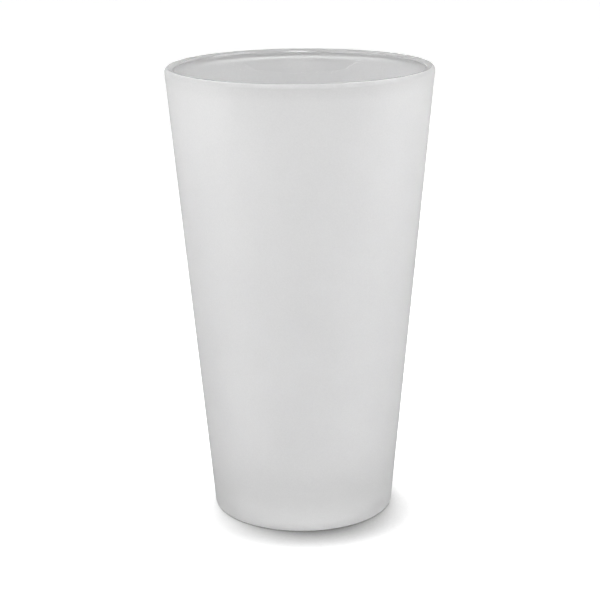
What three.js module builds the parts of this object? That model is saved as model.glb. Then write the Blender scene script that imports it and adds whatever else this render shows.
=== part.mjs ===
// A conical pint glass of 16 US fluid ounces with a frosted outside.
//
// The glass itself is one pressed and fire-polished piece. A frosted lacquer covers its outside from the heel up
// to the top of the rim, and a patch of the same lacquer lies in the hollow under the base. The inside, the top of
// the rim and the ring that the glass stands on are bare.
//
// Millimetres and degrees. +Z is up, and the origin is on the axis, in the plane that the glass stands on.
// Every piece is a profile in (radius, height), turned about the axis.
import * as THREE from "three";

// Driving dimensions of the finished outside, lacquer included
const HEIGHT = 149.2;
const MOUTH_RADIUS = 43.65; // of the outer cone where it meets the plane of the rim's top
const FOOT_RADIUS = 30.11; // of the same cone in the plane of the table

// Rim: a round bead that hangs a little over the inside
const RIM_RADIUS = 1.5;
const BEAD_TURN = 10; // how far past its innermost point the bead curls under
const NECK_RADIUS = 6; // of the hollow between the bead and the inside wall

// Inside
const INNER_DRAFT = 6.8; // lean of the inside wall from the vertical
const FLOOR_HEIGHT = 12.5;
const FLOOR_CORNER_RADIUS = 6;

// Underside
const HEEL_RADIUS = 1.1;
const RING_INNER_RADIUS = 25.5; // inner edge of the flat ring that the glass stands on
const RING_ROUNDING = 1.2;
const PUNT_CROWN = 0.6; // rise of the hollow's ceiling from its edge to the axis

// Frosted lacquer
const FILM = 0.04;
const FILM_GAP = 0.01; // clearance that keeps the film and the glass two separate solids
const FILM_FOOT_ANGLE = -66; // where the wall's film starts on the heel
const FILM_EDGE_ANGLE = 70; // where it ends on the rim
const BASE_FILM_RADIUS = 23.6;

// Fineness of the round shapes
const TURN_STEPS = 64;
const HEEL_STEPS = 3;
const RIM_STEPS = 4;
const BEAD_STEPS = 9;
const CORNER_STEPS = 5;
const UNDERSIDE_STEPS = 3;

const BOTTOM = -90; // direction of the lowest point of a round stretch
const radians = THREE.MathUtils.degToRad;
const TAPER = (MOUTH_RADIUS - FOOT_RADIUS) / HEIGHT;
const OUTER_DRAFT = THREE.MathUtils.radToDeg(Math.atan(TAPER));

function point(radius, height) {
  return new THREE.Vector2(radius, height);
}

// The point at an angle and a distance from a centre.
function polar(centre, distance, angle) {
  return point(centre.x + distance * Math.cos(radians(angle)), centre.y + distance * Math.sin(radians(angle)));
}

// A round stretch of a profile, turning from one angle to another.
function arc(centre, radius, from, to, steps) {
  const clockwise = to < from;
  const curve = new THREE.EllipseCurve(centre.x, centre.y, radius, radius, radians(from), radians(to), clockwise);
  return curve.getPoints(steps);
}

// The centre, at a height, of a round stretch that touches the glass's outer cone under the lacquer.
function centreUnderOuterCone(height, radius) {
  const inset = (radius + FILM_GAP + FILM) / Math.cos(radians(OUTER_DRAFT));
  return point(FOOT_RADIUS + TAPER * height - inset, height);
}

const rimCentre = centreUnderOuterCone(HEIGHT - RIM_RADIUS, RIM_RADIUS);
const heelCentre = centreUnderOuterCone(HEEL_RADIUS, HEEL_RADIUS);
const neckCentre = polar(rimCentre, RIM_RADIUS + NECK_RADIUS, 180 + BEAD_TURN);

// The outside where the lacquer covers it, from the heel to the top of the rim, moved out by an offset.
function coveredOutside(offset) {
  return [
    ...arc(heelCentre, HEEL_RADIUS + offset, FILM_FOOT_ANGLE, -OUTER_DRAFT, HEEL_STEPS),
    ...arc(rimCentre, RIM_RADIUS + offset, -OUTER_DRAFT, FILM_EDGE_ANGLE, RIM_STEPS),
  ];
}

// The bare top of the rim and the neck under its bead, ending at the top of the inside wall.
function bareRim() {
  return [
    ...arc(rimCentre, RIM_RADIUS, FILM_EDGE_ANGLE, 180 + BEAD_TURN, BEAD_STEPS).slice(1),
    ...arc(neckCentre, NECK_RADIUS, BEAD_TURN, -INNER_DRAFT, CORNER_STEPS).slice(1),
  ];
}

// The rounded corner between the inside wall and the floor, and the floor to the axis.
function cornerAndFloor() {
  const lean = radians(INNER_DRAFT);
  const wallTop = polar(neckCentre, NECK_RADIUS, -INNER_DRAFT);
  const height = FLOOR_HEIGHT + FLOOR_CORNER_RADIUS;
  const wallRadius = wallTop.x - (wallTop.y - height) * Math.tan(lean);
  const centre = point(wallRadius - FLOOR_CORNER_RADIUS / Math.cos(lean), height);
  return [
    ...arc(centre, FLOOR_CORNER_RADIUS, -INNER_DRAFT, BOTTOM, CORNER_STEPS),
    point(0, FLOOR_HEIGHT),
  ];
}

// The domed ceiling of the hollow under the base, from the axis out to a radius, moved down by an offset.
function puntCeiling(radius, offset) {
  const edge = RING_INNER_RADIUS - RING_ROUNDING;
  const domeRadius = (edge ** 2 + PUNT_CROWN ** 2) / (2 * PUNT_CROWN);
  const centre = point(0, RING_ROUNDING + PUNT_CROWN - domeRadius);
  const reach = THREE.MathUtils.radToDeg(Math.asin(radius / domeRadius));
  return arc(centre, domeRadius - offset, 90, 90 - reach, UNDERSIDE_STEPS);
}

// The underside from the axis to the lacquer's foot: ceiling, rounded step, standing ring and start of the heel.
function underside() {
  const edge = RING_INNER_RADIUS - RING_ROUNDING;
  const stepCentre = point(RING_INNER_RADIUS, RING_ROUNDING);
  return [
    ...puntCeiling(edge, 0),
    ...arc(stepCentre, RING_ROUNDING, -180, BOTTOM, UNDERSIDE_STEPS).slice(1),
    ...arc(heelCentre, HEEL_RADIUS, BOTTOM, FILM_FOOT_ANGLE, UNDERSIDE_STEPS).slice(0, -1),
  ];
}

function glassProfile() {
  return [...underside(), ...coveredOutside(0), ...bareRim(), ...cornerAndFloor()];
}

// A film's profile is its outer face, its inner face backwards, and its first point again.
function wallFilmProfile() {
  const outer = coveredOutside(FILM_GAP + FILM);
  const inner = coveredOutside(FILM_GAP).reverse();
  return [...outer, ...inner, outer[0]];
}

// This film meets the axis, so its profile starts and ends there.
function baseFilmProfile() {
  const lower = puntCeiling(BASE_FILM_RADIUS, FILM_GAP + FILM);
  const upper = puntCeiling(BASE_FILM_RADIUS, FILM_GAP).reverse();
  return [...lower, ...upper];
}

function clearGlass() {
  return new THREE.MeshStandardMaterial({
    color: 0xeef3f1,
    roughness: 0.04,
    metalness: 0,
    transparent: true,
    opacity: 0.35,
  });
}

function frostedLacquer() {
  return new THREE.MeshStandardMaterial({ color: 0xdcdddd, roughness: 0.6, metalness: 0 });
}

// Turns a profile about the axis and stands the result upright.
function turned(name, profile, material) {
  const geometry = new THREE.LatheGeometry(profile, TURN_STEPS);
  geometry.rotateX(Math.PI / 2);
  const mesh = new THREE.Mesh(geometry, material);
  mesh.name = name;
  return mesh;
}

const lacquer = frostedLacquer();
const pintGlass = new THREE.Group();
pintGlass.add(
  turned("glass_body", glassProfile(), clearGlass()),
  turned("wall_frost_coat", wallFilmProfile(), lacquer),
  turned("base_frost_coat", baseFilmProfile(), lacquer),
);

export default pintGlass;
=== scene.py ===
import math

import bpy
from mathutils import Matrix, Vector


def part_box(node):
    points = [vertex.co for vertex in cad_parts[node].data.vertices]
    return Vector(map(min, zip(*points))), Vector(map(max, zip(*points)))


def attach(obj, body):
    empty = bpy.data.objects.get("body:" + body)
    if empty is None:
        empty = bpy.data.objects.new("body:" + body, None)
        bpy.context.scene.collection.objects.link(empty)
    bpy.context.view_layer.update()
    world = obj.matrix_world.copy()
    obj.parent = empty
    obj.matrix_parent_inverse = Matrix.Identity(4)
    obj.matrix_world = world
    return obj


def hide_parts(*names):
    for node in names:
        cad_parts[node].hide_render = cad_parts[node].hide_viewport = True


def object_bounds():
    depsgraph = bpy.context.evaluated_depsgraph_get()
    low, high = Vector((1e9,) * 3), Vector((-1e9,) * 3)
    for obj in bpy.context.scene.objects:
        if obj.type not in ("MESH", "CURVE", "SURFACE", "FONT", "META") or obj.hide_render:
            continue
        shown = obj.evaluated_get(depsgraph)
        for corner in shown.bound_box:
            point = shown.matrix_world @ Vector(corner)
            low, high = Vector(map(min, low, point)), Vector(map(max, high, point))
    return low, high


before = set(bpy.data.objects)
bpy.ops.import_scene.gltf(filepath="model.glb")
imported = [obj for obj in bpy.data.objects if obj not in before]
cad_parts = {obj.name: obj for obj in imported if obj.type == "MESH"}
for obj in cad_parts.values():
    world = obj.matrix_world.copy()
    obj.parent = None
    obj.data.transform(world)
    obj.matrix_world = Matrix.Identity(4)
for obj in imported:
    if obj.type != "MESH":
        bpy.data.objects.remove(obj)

# A frosted pint glass: a clear pressed glass body, with a frosted lacquer on its outside and under its base.
# The CAD model gives the sizes of the outside. The pieces here are the same profiles turned far more finely.

CAD_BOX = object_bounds()
MM = 0.001

# Profile, in millimetres and degrees, as in the CAD model: the outside cone first
CONE_HEIGHT = 149.2
MOUTH_RADIUS = 43.65
FOOT_RADIUS = 30.11
OUTER_DRAFT = math.degrees(math.atan((MOUTH_RADIUS - FOOT_RADIUS) / CONE_HEIGHT))
RIM_RADIUS = 1.5
BEAD_TURN = 10
NECK_RADIUS = 6.0
INNER_DRAFT = 6.8
FLOOR_HEIGHT = 12.5
FLOOR_CORNER_RADIUS = 6.0
HEEL_RADIUS = 1.1
RING_INNER_RADIUS = 25.5
RING_ROUNDING = 1.2
PUNT_CROWN = 0.6
FILM = 0.04
FILM_GAP = 0.01
FILM_FOOT_ANGLE = -66
FILM_EDGE_ANGLE = 70

# Glass: its waves and the traces of handling
GLASS_IOR = 1.52
WAVE_SIZE = 11 * MM
WAVE_DEPTH = 0.015 * MM
WAVE_STRENGTH = 0.35
HANDLING_SIZE = 4 * MM
HANDLING_ROUGHNESS = (0.0, 0.02)

# Lacquer: its grain and clouds, how much light goes through, and how much each tone gives back
LACQUER_IOR = 1.5
LACQUER_TRANSMISSION = 0.5
GRAIN_SIZE = 0.45 * MM
GRAIN_DEPTH = 0.015 * MM
GRAIN_STRENGTH = 0.4
GRAIN_ROUGHNESS = (1.0, 0.9)
CLOUD_SIZE = 14 * MM
LACQUER_TONE = (0.77, 0.805)
LACQUER_CLOUDS = (0.99, 1.01)

# Painted light and shade in the lacquer's tone up the wall: a lower and an upper height, and the factor at
# each.
# A painted glow at the foot and over the solid base, painted shade below the rim, and painted shade on the
# rim's crest.
# The factors suit the lights below. The crest's painted shade holds back the glare of those lights on the
# rim's crest.
FOOT_PAINTED_GLOW = (0.5 * MM, 5 * MM, 1.08, 1.0)
BASE_PAINTED_GLOW = (5 * MM, 12 * MM, 1.04, 1.0)
RIM_PAINTED_SHADE = (143 * MM, 147 * MM, 1.0, 0.95)
CREST_PAINTED_SHADE = (147.4 * MM, 148.6 * MM, 1.0, 0.8)

# The floor in view: bright enough to burn out in the open, and dark where the glass shelters it.
# A spot's openness is the free share of what lies within a reach of it, on the side of an aim.
FLOOR_GAIN = 1.48
SHADOW_DARKEST = 0.15
SHADOW_REACH = 22 * MM
SHADOW_AIM = (-0.2, 0.95, 0.3)
SHADOW_SAMPLES = 32
OPENNESS_OF_DARKEST = 0.35
OPENNESS_OF_BRIGHTEST = 1.0
FLOOR_TEXTURE_SIZE = 1.5 * MM
FLOOR_TEXTURE_DEPTH = 0.02 * MM
FLOOR_TEXTURE_STRENGTH = 0.2
FLOOR_ROUGHNESS = (0.8, 0.9)
FLOOR_TONE = (0.94, 0.96)

# Fineness of the round shapes
TURN_STEPS = 288
ARC_DEGREES = 5.0
WALL_STEP = 3.0
CEILING_STEPS = 12

# Noise keeps to this middle part of its range nearly everywhere
NOISE_LOW = 0.3
NOISE_HIGH = 0.7

WHITE = (1, 1, 1, 1)

# Sizes read from the boxes of the CAD pieces
HEIGHT = (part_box("glass_body")[1] / MM).z
WIDEST_RADIUS = (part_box("wall_frost_coat")[1] / MM).x
BASE_FILM_RADIUS = (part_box("base_frost_coat")[1] / MM).x


# ---------------------------------------------------------------- profiles

def polar(centre, distance, angle):
    """The point at an angle and a distance from a centre, both in the (radius, height) plane."""
    turn = math.radians(angle)
    return (centre[0] + distance * math.cos(turn), centre[1] + distance * math.sin(turn))


def arc(centre, radius, start, end):
    """A round stretch of a profile, turning from one angle to another."""
    steps = max(2, math.ceil(abs(end - start) / ARC_DEGREES))
    return [polar(centre, radius, start + (end - start) * i / steps) for i in range(steps + 1)]


def line(start, end):
    """A straight stretch without its ends, cut into short steps."""
    steps = max(1, math.ceil(math.dist(start, end) / WALL_STEP))
    return [
        (start[0] + (end[0] - start[0]) * i / steps, start[1] + (end[1] - start[1]) * i / steps)
        for i in range(1, steps)
    ]


def joined(*stretches):
    """Stretches in order, with a straight line between each end and the next start."""
    points = list(stretches[0])
    for stretch in stretches[1:]:
        if math.dist(points[-1], stretch[0]) > 1e-6:
            points += line(points[-1], stretch[0])
            points += stretch
        else:
            points += stretch[1:]
    return points


rim_centre = (WIDEST_RADIUS - RIM_RADIUS - FILM_GAP - FILM, HEIGHT - RIM_RADIUS)
neck_centre = polar(rim_centre, RIM_RADIUS + NECK_RADIUS, 180 + BEAD_TURN)


def heel_centre():
    """Under the same outer cone as the rim's centre, moved by the difference of the two radii."""
    lean = math.radians(OUTER_DRAFT)
    fall = rim_centre[1] - HEEL_RADIUS
    return (rim_centre[0] - fall * math.tan(lean) + (RIM_RADIUS - HEEL_RADIUS) / math.cos(lean), HEEL_RADIUS)


def covered_outside(offset):
    """The outside that the lacquer covers, from the heel to the top of the rim, moved out by an offset."""
    return joined(
        arc(heel_centre(), HEEL_RADIUS + offset, FILM_FOOT_ANGLE, -OUTER_DRAFT),
        arc(rim_centre, RIM_RADIUS + offset, -OUTER_DRAFT, FILM_EDGE_ANGLE),
    )


def bare_rim():
    """From the edge of the lacquer over the bead and through the neck to the inside wall."""
    return joined(
        arc(rim_centre, RIM_RADIUS, FILM_EDGE_ANGLE, 180 + BEAD_TURN),
        arc(neck_centre, NECK_RADIUS, BEAD_TURN, -INNER_DRAFT),
    )


def corner_and_floor():
    """The rounded corner at the foot of the inside wall, and the flat floor in to the axis."""
    lean = math.radians(INNER_DRAFT)
    wall_top = polar(neck_centre, NECK_RADIUS, -INNER_DRAFT)
    height = FLOOR_HEIGHT + FLOOR_CORNER_RADIUS
    wall_radius = wall_top[0] - (wall_top[1] - height) * math.tan(lean)
    centre = (wall_radius - FLOOR_CORNER_RADIUS / math.cos(lean), height)
    return joined(
        arc(centre, FLOOR_CORNER_RADIUS, -INNER_DRAFT, -90),
        [(0.0, FLOOR_HEIGHT)],
    )


def punt_ceiling(radius, offset):
    """The domed ceiling of the hollow under the base, out to a radius, moved down by an offset."""
    edge = RING_INNER_RADIUS - RING_ROUNDING
    dome = (edge ** 2 + PUNT_CROWN ** 2) / (2 * PUNT_CROWN)
    centre = (0.0, RING_ROUNDING + PUNT_CROWN - dome)
    reach = math.degrees(math.asin(radius / dome))
    return [polar(centre, dome - offset, 90 - reach * i / CEILING_STEPS) for i in range(CEILING_STEPS + 1)]


def standing_ring():
    """From the hollow down to the flat that the glass stands on, and up to the edge of the lacquer."""
    return joined(
        arc((RING_INNER_RADIUS, RING_ROUNDING), RING_ROUNDING, -180, -90),
        arc(heel_centre(), HEEL_RADIUS, -90, FILM_FOOT_ANGLE),
    )


# ---------------------------------------------------------------- meshes

def chained(stretches):
    """The points of a whole profile, and the material of each of its segments."""
    points, slots = [], []
    for stretch, slot in stretches:
        start = 0 if not points else 1
        points += stretch[start:]
        slots += [slot] * (len(stretch) - 1)
    return points, slots


def ring_vertices(points):
    """A ring of vertices for each point, and one vertex for a point on the axis."""
    verts, rings = [], []
    for radius, height in points:
        if radius < 1e-9:
            rings.append([len(verts)] * TURN_STEPS)
            verts.append((0.0, 0.0, height * MM))
            continue
        rings.append(list(range(len(verts), len(verts) + TURN_STEPS)))
        for step in range(TURN_STEPS):
            turn = math.tau * step / TURN_STEPS
            verts.append((radius * MM * math.cos(turn), radius * MM * math.sin(turn), height * MM))
    return verts, rings


def turned(name, stretches, materials, closed=False):
    """Turns a profile about the axis. A stretch is (points, material index), from the last one's end."""
    points, slots = chained(stretches)
    if closed:
        points = points[:-1]
    verts, rings = ring_vertices(points)
    faces, face_slots = [], []
    for index, slot in enumerate(slots):
        low, high = rings[index], rings[(index + 1) % len(rings)]
        for step in range(TURN_STEPS):
            after = (step + 1) % TURN_STEPS
            corners = [low[step], low[after], high[after], high[step]]
            faces.append(list(dict.fromkeys(corners)))
            face_slots.append(slot)
    mesh = bpy.data.meshes.new(name)
    mesh.from_pydata(verts, [], faces)
    for material in materials:
        mesh.materials.append(material)
    mesh.polygons.foreach_set("material_index", face_slots)
    mesh.polygons.foreach_set("use_smooth", [True] * len(faces))
    mesh.update()
    piece = bpy.data.objects.new(name, mesh)
    bpy.context.scene.collection.objects.link(piece)
    return piece


# ---------------------------------------------------------------- materials

def new_material(name):
    material = bpy.data.materials.new(name)
    material.use_nodes = True
    tree = material.node_tree
    return material, tree, tree.nodes["Principled BSDF"]


def noise(tree, size, detail=2.0):
    """Even noise between 0 and 1, whose features are about a size in metres across."""
    place = tree.nodes.new("ShaderNodeTexCoord")
    texture = tree.nodes.new("ShaderNodeTexNoise")
    texture.inputs["Scale"].default_value = 1 / size
    texture.inputs["Detail"].default_value = detail
    tree.links.new(place.outputs["Object"], texture.inputs["Vector"])
    return texture.outputs["Fac"]


def spread(tree, value, low, high):
    """Stretches the middle of a noise over a range of values."""
    stretch = tree.nodes.new("ShaderNodeMapRange")
    stretch.inputs["From Min"].default_value = NOISE_LOW
    stretch.inputs["From Max"].default_value = NOISE_HIGH
    stretch.inputs["To Min"].default_value = low
    stretch.inputs["To Max"].default_value = high
    tree.links.new(value, stretch.inputs["Value"])
    return stretch.outputs["Result"]


def combined(tree, operation, first, second):
    """Two values through one sum or product."""
    node = tree.nodes.new("ShaderNodeMath")
    node.operation = operation
    tree.links.new(first, node.inputs[0])
    tree.links.new(second, node.inputs[1])
    return node.outputs["Value"]


def grey(tree, value):
    """A grey as bright as a value."""
    colour = tree.nodes.new("ShaderNodeCombineColor")
    for channel in ("Red", "Green", "Blue"):
        tree.links.new(value, colour.inputs[channel])
    return colour.outputs["Color"]


def relief(tree, shader, height, depth, strength):
    """Bump of a depth in metres."""
    bump = tree.nodes.new("ShaderNodeBump")
    bump.inputs["Strength"].default_value = strength
    bump.inputs["Distance"].default_value = depth
    tree.links.new(height, bump.inputs["Height"])
    tree.links.new(bump.outputs["Normal"], shader.inputs["Normal"])


def clear_glass():
    """Pressed soda-lime glass: fire polished, with the faint waves that the mould and the plunger leave."""
    material, tree, shader = new_material("pressed_glass")
    shader.inputs["Base Color"].default_value = WHITE
    shader.inputs["IOR"].default_value = GLASS_IOR
    shader.inputs["Transmission Weight"].default_value = 1.0
    handling = noise(tree, HANDLING_SIZE, detail=3)
    tree.links.new(spread(tree, handling, *HANDLING_ROUGHNESS), shader.inputs["Roughness"])
    relief(tree, shader, noise(tree, WAVE_SIZE, detail=1), WAVE_DEPTH, WAVE_STRENGTH)
    return material


def up_the_wall(tree, start, end, low, high):
    """Goes smoothly from one value at a lower height to another at an upper height."""
    place = tree.nodes.new("ShaderNodeTexCoord")
    parts = tree.nodes.new("ShaderNodeSeparateXYZ")
    tree.links.new(place.outputs["Object"], parts.inputs["Vector"])
    rise = tree.nodes.new("ShaderNodeMapRange")
    rise.interpolation_type = "SMOOTHSTEP"
    rise.inputs["From Min"].default_value = start
    rise.inputs["From Max"].default_value = end
    rise.inputs["To Min"].default_value = low
    rise.inputs["To Max"].default_value = high
    tree.links.new(parts.outputs["Z"], rise.inputs["Value"])
    return rise.outputs["Result"]


def frosted_lacquer():
    """Sprayed frosting: a milky film with a fine dry grain and uneven cover. Its tone has a painted glow low
    down and painted shade at the rim.
    """
    material, tree, shader = new_material("sprayed_frosting")
    shader.inputs["IOR"].default_value = LACQUER_IOR
    shader.inputs["Transmission Weight"].default_value = LACQUER_TRANSMISSION
    grain = noise(tree, GRAIN_SIZE, detail=3)
    clouds = spread(tree, noise(tree, CLOUD_SIZE), *LACQUER_CLOUDS)
    tone = combined(tree, "MULTIPLY", spread(tree, grain, *LACQUER_TONE), clouds)
    # Painted glow at the foot and over the solid base, and painted shade below the rim and on its crest
    for change in (BASE_PAINTED_GLOW, FOOT_PAINTED_GLOW, RIM_PAINTED_SHADE, CREST_PAINTED_SHADE):
        tone = combined(tree, "MULTIPLY", tone, up_the_wall(tree, *change))
    tree.links.new(grey(tree, tone), shader.inputs["Base Color"])
    tree.links.new(spread(tree, grain, *GRAIN_ROUGHNESS), shader.inputs["Roughness"])
    relief(tree, shader, grain, GRAIN_DEPTH, GRAIN_STRENGTH)
    return material


def bonded_face():
    """Where the lacquer and the glass touch: their refractive indices match, so light goes straight on."""
    material = bpy.data.materials.new("bonded_face")
    material.use_nodes = True
    tree = material.node_tree
    tree.nodes.clear()
    through = tree.nodes.new("ShaderNodeBsdfTransparent")
    output = tree.nodes.new("ShaderNodeOutputMaterial")
    tree.links.new(through.outputs["BSDF"], output.inputs["Surface"])
    return material


def open_to_light(tree):
    """The floor's brightness in view, from its gain in the open down to the darkest contact shadow."""
    aim = tree.nodes.new("ShaderNodeCombineXYZ")
    for axis, amount in zip("XYZ", SHADOW_AIM):
        aim.inputs[axis].default_value = amount
    shelter = tree.nodes.new("ShaderNodeAmbientOcclusion")
    shelter.samples = SHADOW_SAMPLES
    shelter.inputs["Distance"].default_value = SHADOW_REACH
    tree.links.new(aim.outputs["Vector"], shelter.inputs["Normal"])
    shade = tree.nodes.new("ShaderNodeMapRange")
    shade.inputs["From Min"].default_value = OPENNESS_OF_DARKEST
    shade.inputs["From Max"].default_value = OPENNESS_OF_BRIGHTEST
    shade.inputs["To Min"].default_value = SHADOW_DARKEST
    shade.inputs["To Max"].default_value = FLOOR_GAIN
    tree.links.new(shelter.outputs["AO"], shade.inputs["Value"])
    return shade.outputs["Result"]


def pale_floor():
    """A matt white studio floor. Its gain and its contact shadow show in view only, and light nothing."""
    material, tree, shader = new_material("pale_floor")
    shader.inputs["Specular IOR Level"].default_value = 0.0
    texture = noise(tree, FLOOR_TEXTURE_SIZE, detail=3)
    tree.links.new(spread(tree, texture, *FLOOR_ROUGHNESS), shader.inputs["Roughness"])
    relief(tree, shader, texture, FLOOR_TEXTURE_DEPTH, FLOOR_TEXTURE_STRENGTH)
    ray = tree.nodes.new("ShaderNodeLightPath")
    seen = tree.nodes.new("ShaderNodeMix")
    seen.inputs["A"].default_value = 1.0
    tree.links.new(ray.outputs["Is Camera Ray"], seen.inputs["Factor"])
    tree.links.new(open_to_light(tree), seen.inputs["B"])
    matt = combined(tree, "MULTIPLY", spread(tree, texture, *FLOOR_TONE), seen.outputs["Result"])
    tree.links.new(grey(tree, matt), shader.inputs["Base Color"])
    return material


# ---------------------------------------------------------------- pieces

# Places of the materials on the glass and on the two coats
GLASS, FROST, BONDED = 0, 0, 1
clear, frost, bonded = clear_glass(), frosted_lacquer(), bonded_face()

ceiling = punt_ceiling(BASE_FILM_RADIUS, 0)
ceiling_edge = [ceiling[-1], (RING_INNER_RADIUS - RING_ROUNDING, RING_ROUNDING)]
ring = standing_ring()
outside = covered_outside(0)
rim = bare_rim()
inside = corner_and_floor()
glass_body = turned(
    "pressed_glass_body",
    [
        (ceiling, BONDED),
        (ceiling_edge, GLASS),
        ([ceiling_edge[-1]] + ring[1:], GLASS),
        (outside, BONDED),
        (rim, GLASS),
        ([rim[-1]] + line(rim[-1], inside[0]) + [inside[0]], GLASS),
        (inside, GLASS),
    ],
    [clear, bonded],
)
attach(glass_body, "root")
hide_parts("glass_body")

outer_face = covered_outside(FILM_GAP + FILM)
inner_face = covered_outside(FILM_GAP)[::-1]
wall_coat = turned(
    "wall_frosting",
    [
        (outer_face, FROST),
        ([outer_face[-1], inner_face[0]], FROST),
        (inner_face, BONDED),
        ([inner_face[-1], outer_face[0]], FROST),
    ],
    [frost, bonded],
    closed=True,
)
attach(wall_coat, "root")
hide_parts("wall_frost_coat")

lower_face = punt_ceiling(BASE_FILM_RADIUS, FILM_GAP + FILM)
upper_face = punt_ceiling(BASE_FILM_RADIUS, FILM_GAP)[::-1]
base_coat = turned(
    "base_frosting",
    [
        (lower_face, FROST),
        ([lower_face[-1], upper_face[0]], FROST),
        (upper_face, BONDED),
    ],
    [frost, bonded],
)
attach(base_coat, "root")
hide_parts("base_frost_coat")


# ---------------------------------------------------------------- stage

FLOOR_REACH = 6.0


def make_floor():
    """A square of floor, wide enough to fill the view."""
    mesh = bpy.data.meshes.new("floor")
    corners = [(FLOOR_REACH * x, FLOOR_REACH * y, 0) for x, y in ((-1, -1), (1, -1), (1, 1), (-1, 1))]
    mesh.from_pydata(corners, [], [(0, 1, 2, 3)])
    mesh.materials.append(pale_floor())
    floor = bpy.data.objects.new("floor", mesh)
    bpy.context.scene.collection.objects.link(floor)


# Soft lights: azimuth (0 behind the glass, 90 at its right), elevation, sharpness of the falloff, strength
SOFT_LIGHTS = [
    (180, 60, 7, 1.54),
    (180, 8, 15, 0.6),
    (0, 60, 7, 0.5),
    (0, 8, 15, 0.4),
    (180, 45, 80, 15),
]

# Round softboxes in pairs beside the glass, above it and above in front: place, width, radiance
SOFTBOXES = [
    ((-0.35, 0, 0.15), 0.25, 1.1),
    ((0.35, 0, 0.15), 0.25, 1.5),
    ((-0.15, 0, 0.3), 0.15, 2.4),
    ((0.15, 0, 0.3), 0.15, 3.6),
    ((-0.12, -0.12, 0.28), 0.12, 4.2),
    ((0.12, -0.12, 0.28), 0.12, 1.6),
]


def soft_glow(tree, direction, azimuth, elevation, sharpness, strength):
    """A round soft light without an edge: strength * exp(sharpness * (cos(angle) - 1)), as a socket."""
    turn, rise = math.radians(azimuth), math.radians(elevation)
    aim = tree.nodes.new("ShaderNodeVectorMath")
    aim.operation = "DOT_PRODUCT"
    aim.inputs[1].default_value = (
        math.sin(turn) * math.cos(rise),
        math.cos(turn) * math.cos(rise),
        math.sin(rise),
    )
    tree.links.new(direction, aim.inputs[0])
    fall = tree.nodes.new("ShaderNodeMath")
    fall.operation = "MULTIPLY_ADD"
    fall.inputs[1].default_value = sharpness
    fall.inputs[2].default_value = -sharpness
    tree.links.new(aim.outputs["Value"], fall.inputs[0])
    glow = tree.nodes.new("ShaderNodeMath")
    glow.operation = "EXPONENT"
    tree.links.new(fall.outputs["Value"], glow.inputs[0])
    scaled = tree.nodes.new("ShaderNodeMath")
    scaled.operation = "MULTIPLY"
    scaled.inputs[1].default_value = strength
    tree.links.new(glow.outputs["Value"], scaled.inputs[0])
    return scaled.outputs["Value"]


def make_world():
    """The soft lights all round, and plain white where the camera looks straight past the glass."""
    world = bpy.data.worlds.new("studio")
    world.use_nodes = True
    tree = world.node_tree
    place = tree.nodes.new("ShaderNodeTexCoord")
    total = None
    for light in SOFT_LIGHTS:
        glow = soft_glow(tree, place.outputs["Generated"], *light)
        total = glow if total is None else combined(tree, "ADD", total, glow)
    lights = tree.nodes["Background"]
    lights.inputs["Color"].default_value = WHITE
    tree.links.new(total, lights.inputs["Strength"])
    backdrop = tree.nodes.new("ShaderNodeBackground")
    backdrop.inputs["Color"].default_value = WHITE
    ray = tree.nodes.new("ShaderNodeLightPath")
    seen = tree.nodes.new("ShaderNodeMixShader")
    tree.links.new(ray.outputs["Is Camera Ray"], seen.inputs["Fac"])
    tree.links.new(lights.outputs["Background"], seen.inputs[1])
    tree.links.new(backdrop.outputs["Background"], seen.inputs[2])
    tree.links.new(seen.outputs["Shader"], tree.nodes["World Output"].inputs["Surface"])
    bpy.context.scene.world = world


def make_softboxes():
    """Disks that face the middle of the glass. A disk's power is pi times its area times its radiance."""
    middle = (CAD_BOX[0] + CAD_BOX[1]) / 2
    for place, width, radiance in SOFTBOXES:
        light = bpy.data.lights.new("softbox", "AREA")
        light.shape = "DISK"
        light.size = width
        light.energy = radiance * math.pi * math.pi * (width / 2) ** 2
        box = bpy.data.objects.new("softbox", light)
        box.visible_camera = False
        facing = (middle - Vector(place)).to_track_quat("-Z", "Y").to_matrix().to_4x4()
        box.matrix_world = Matrix.Translation(place) @ facing
        bpy.context.scene.collection.objects.link(box)


# The camera's place in metres and its angles in degrees, and its sensor and lens in millimetres
CAMERA_DISTANCE = 0.533
CAMERA_HEIGHT = 0.2211
CAMERA_PITCH = 15.766
CAMERA_YAW = -0.063
CAMERA_ROLL = -0.533
SENSOR = 36.0
LENS = 99.378


def make_camera():
    data = bpy.data.cameras.new("camera")
    data.sensor_width = SENSOR
    data.lens = LENS
    camera = bpy.data.objects.new("camera", data)
    bpy.context.scene.collection.objects.link(camera)
    pitch, yaw, roll = (math.radians(a) for a in (CAMERA_PITCH, CAMERA_YAW, CAMERA_ROLL))
    forward = Vector((math.sin(yaw) * math.cos(pitch), math.cos(yaw) * math.cos(pitch), -math.sin(pitch)))
    level = Vector((math.cos(yaw), -math.sin(yaw), 0))
    up = level.cross(forward)
    right = math.cos(roll) * level + math.sin(roll) * up
    up = -math.sin(roll) * level + math.cos(roll) * up
    turn = Matrix((right, up, -forward)).transposed()
    camera.matrix_world = Matrix.Translation((0, -CAMERA_DISTANCE, CAMERA_HEIGHT)) @ turn.to_4x4()
    bpy.context.scene.camera = camera


make_floor()
make_world()
make_softboxes()
make_camera()
bpy.context.scene.view_settings.view_transform = "Standard"
cycles = bpy.context.scene.cycles
cycles.blur_glossy = 0.0
cycles.max_bounces = 32
cycles.transmission_bounces = 32
cycles.transparent_max_bounces = 48
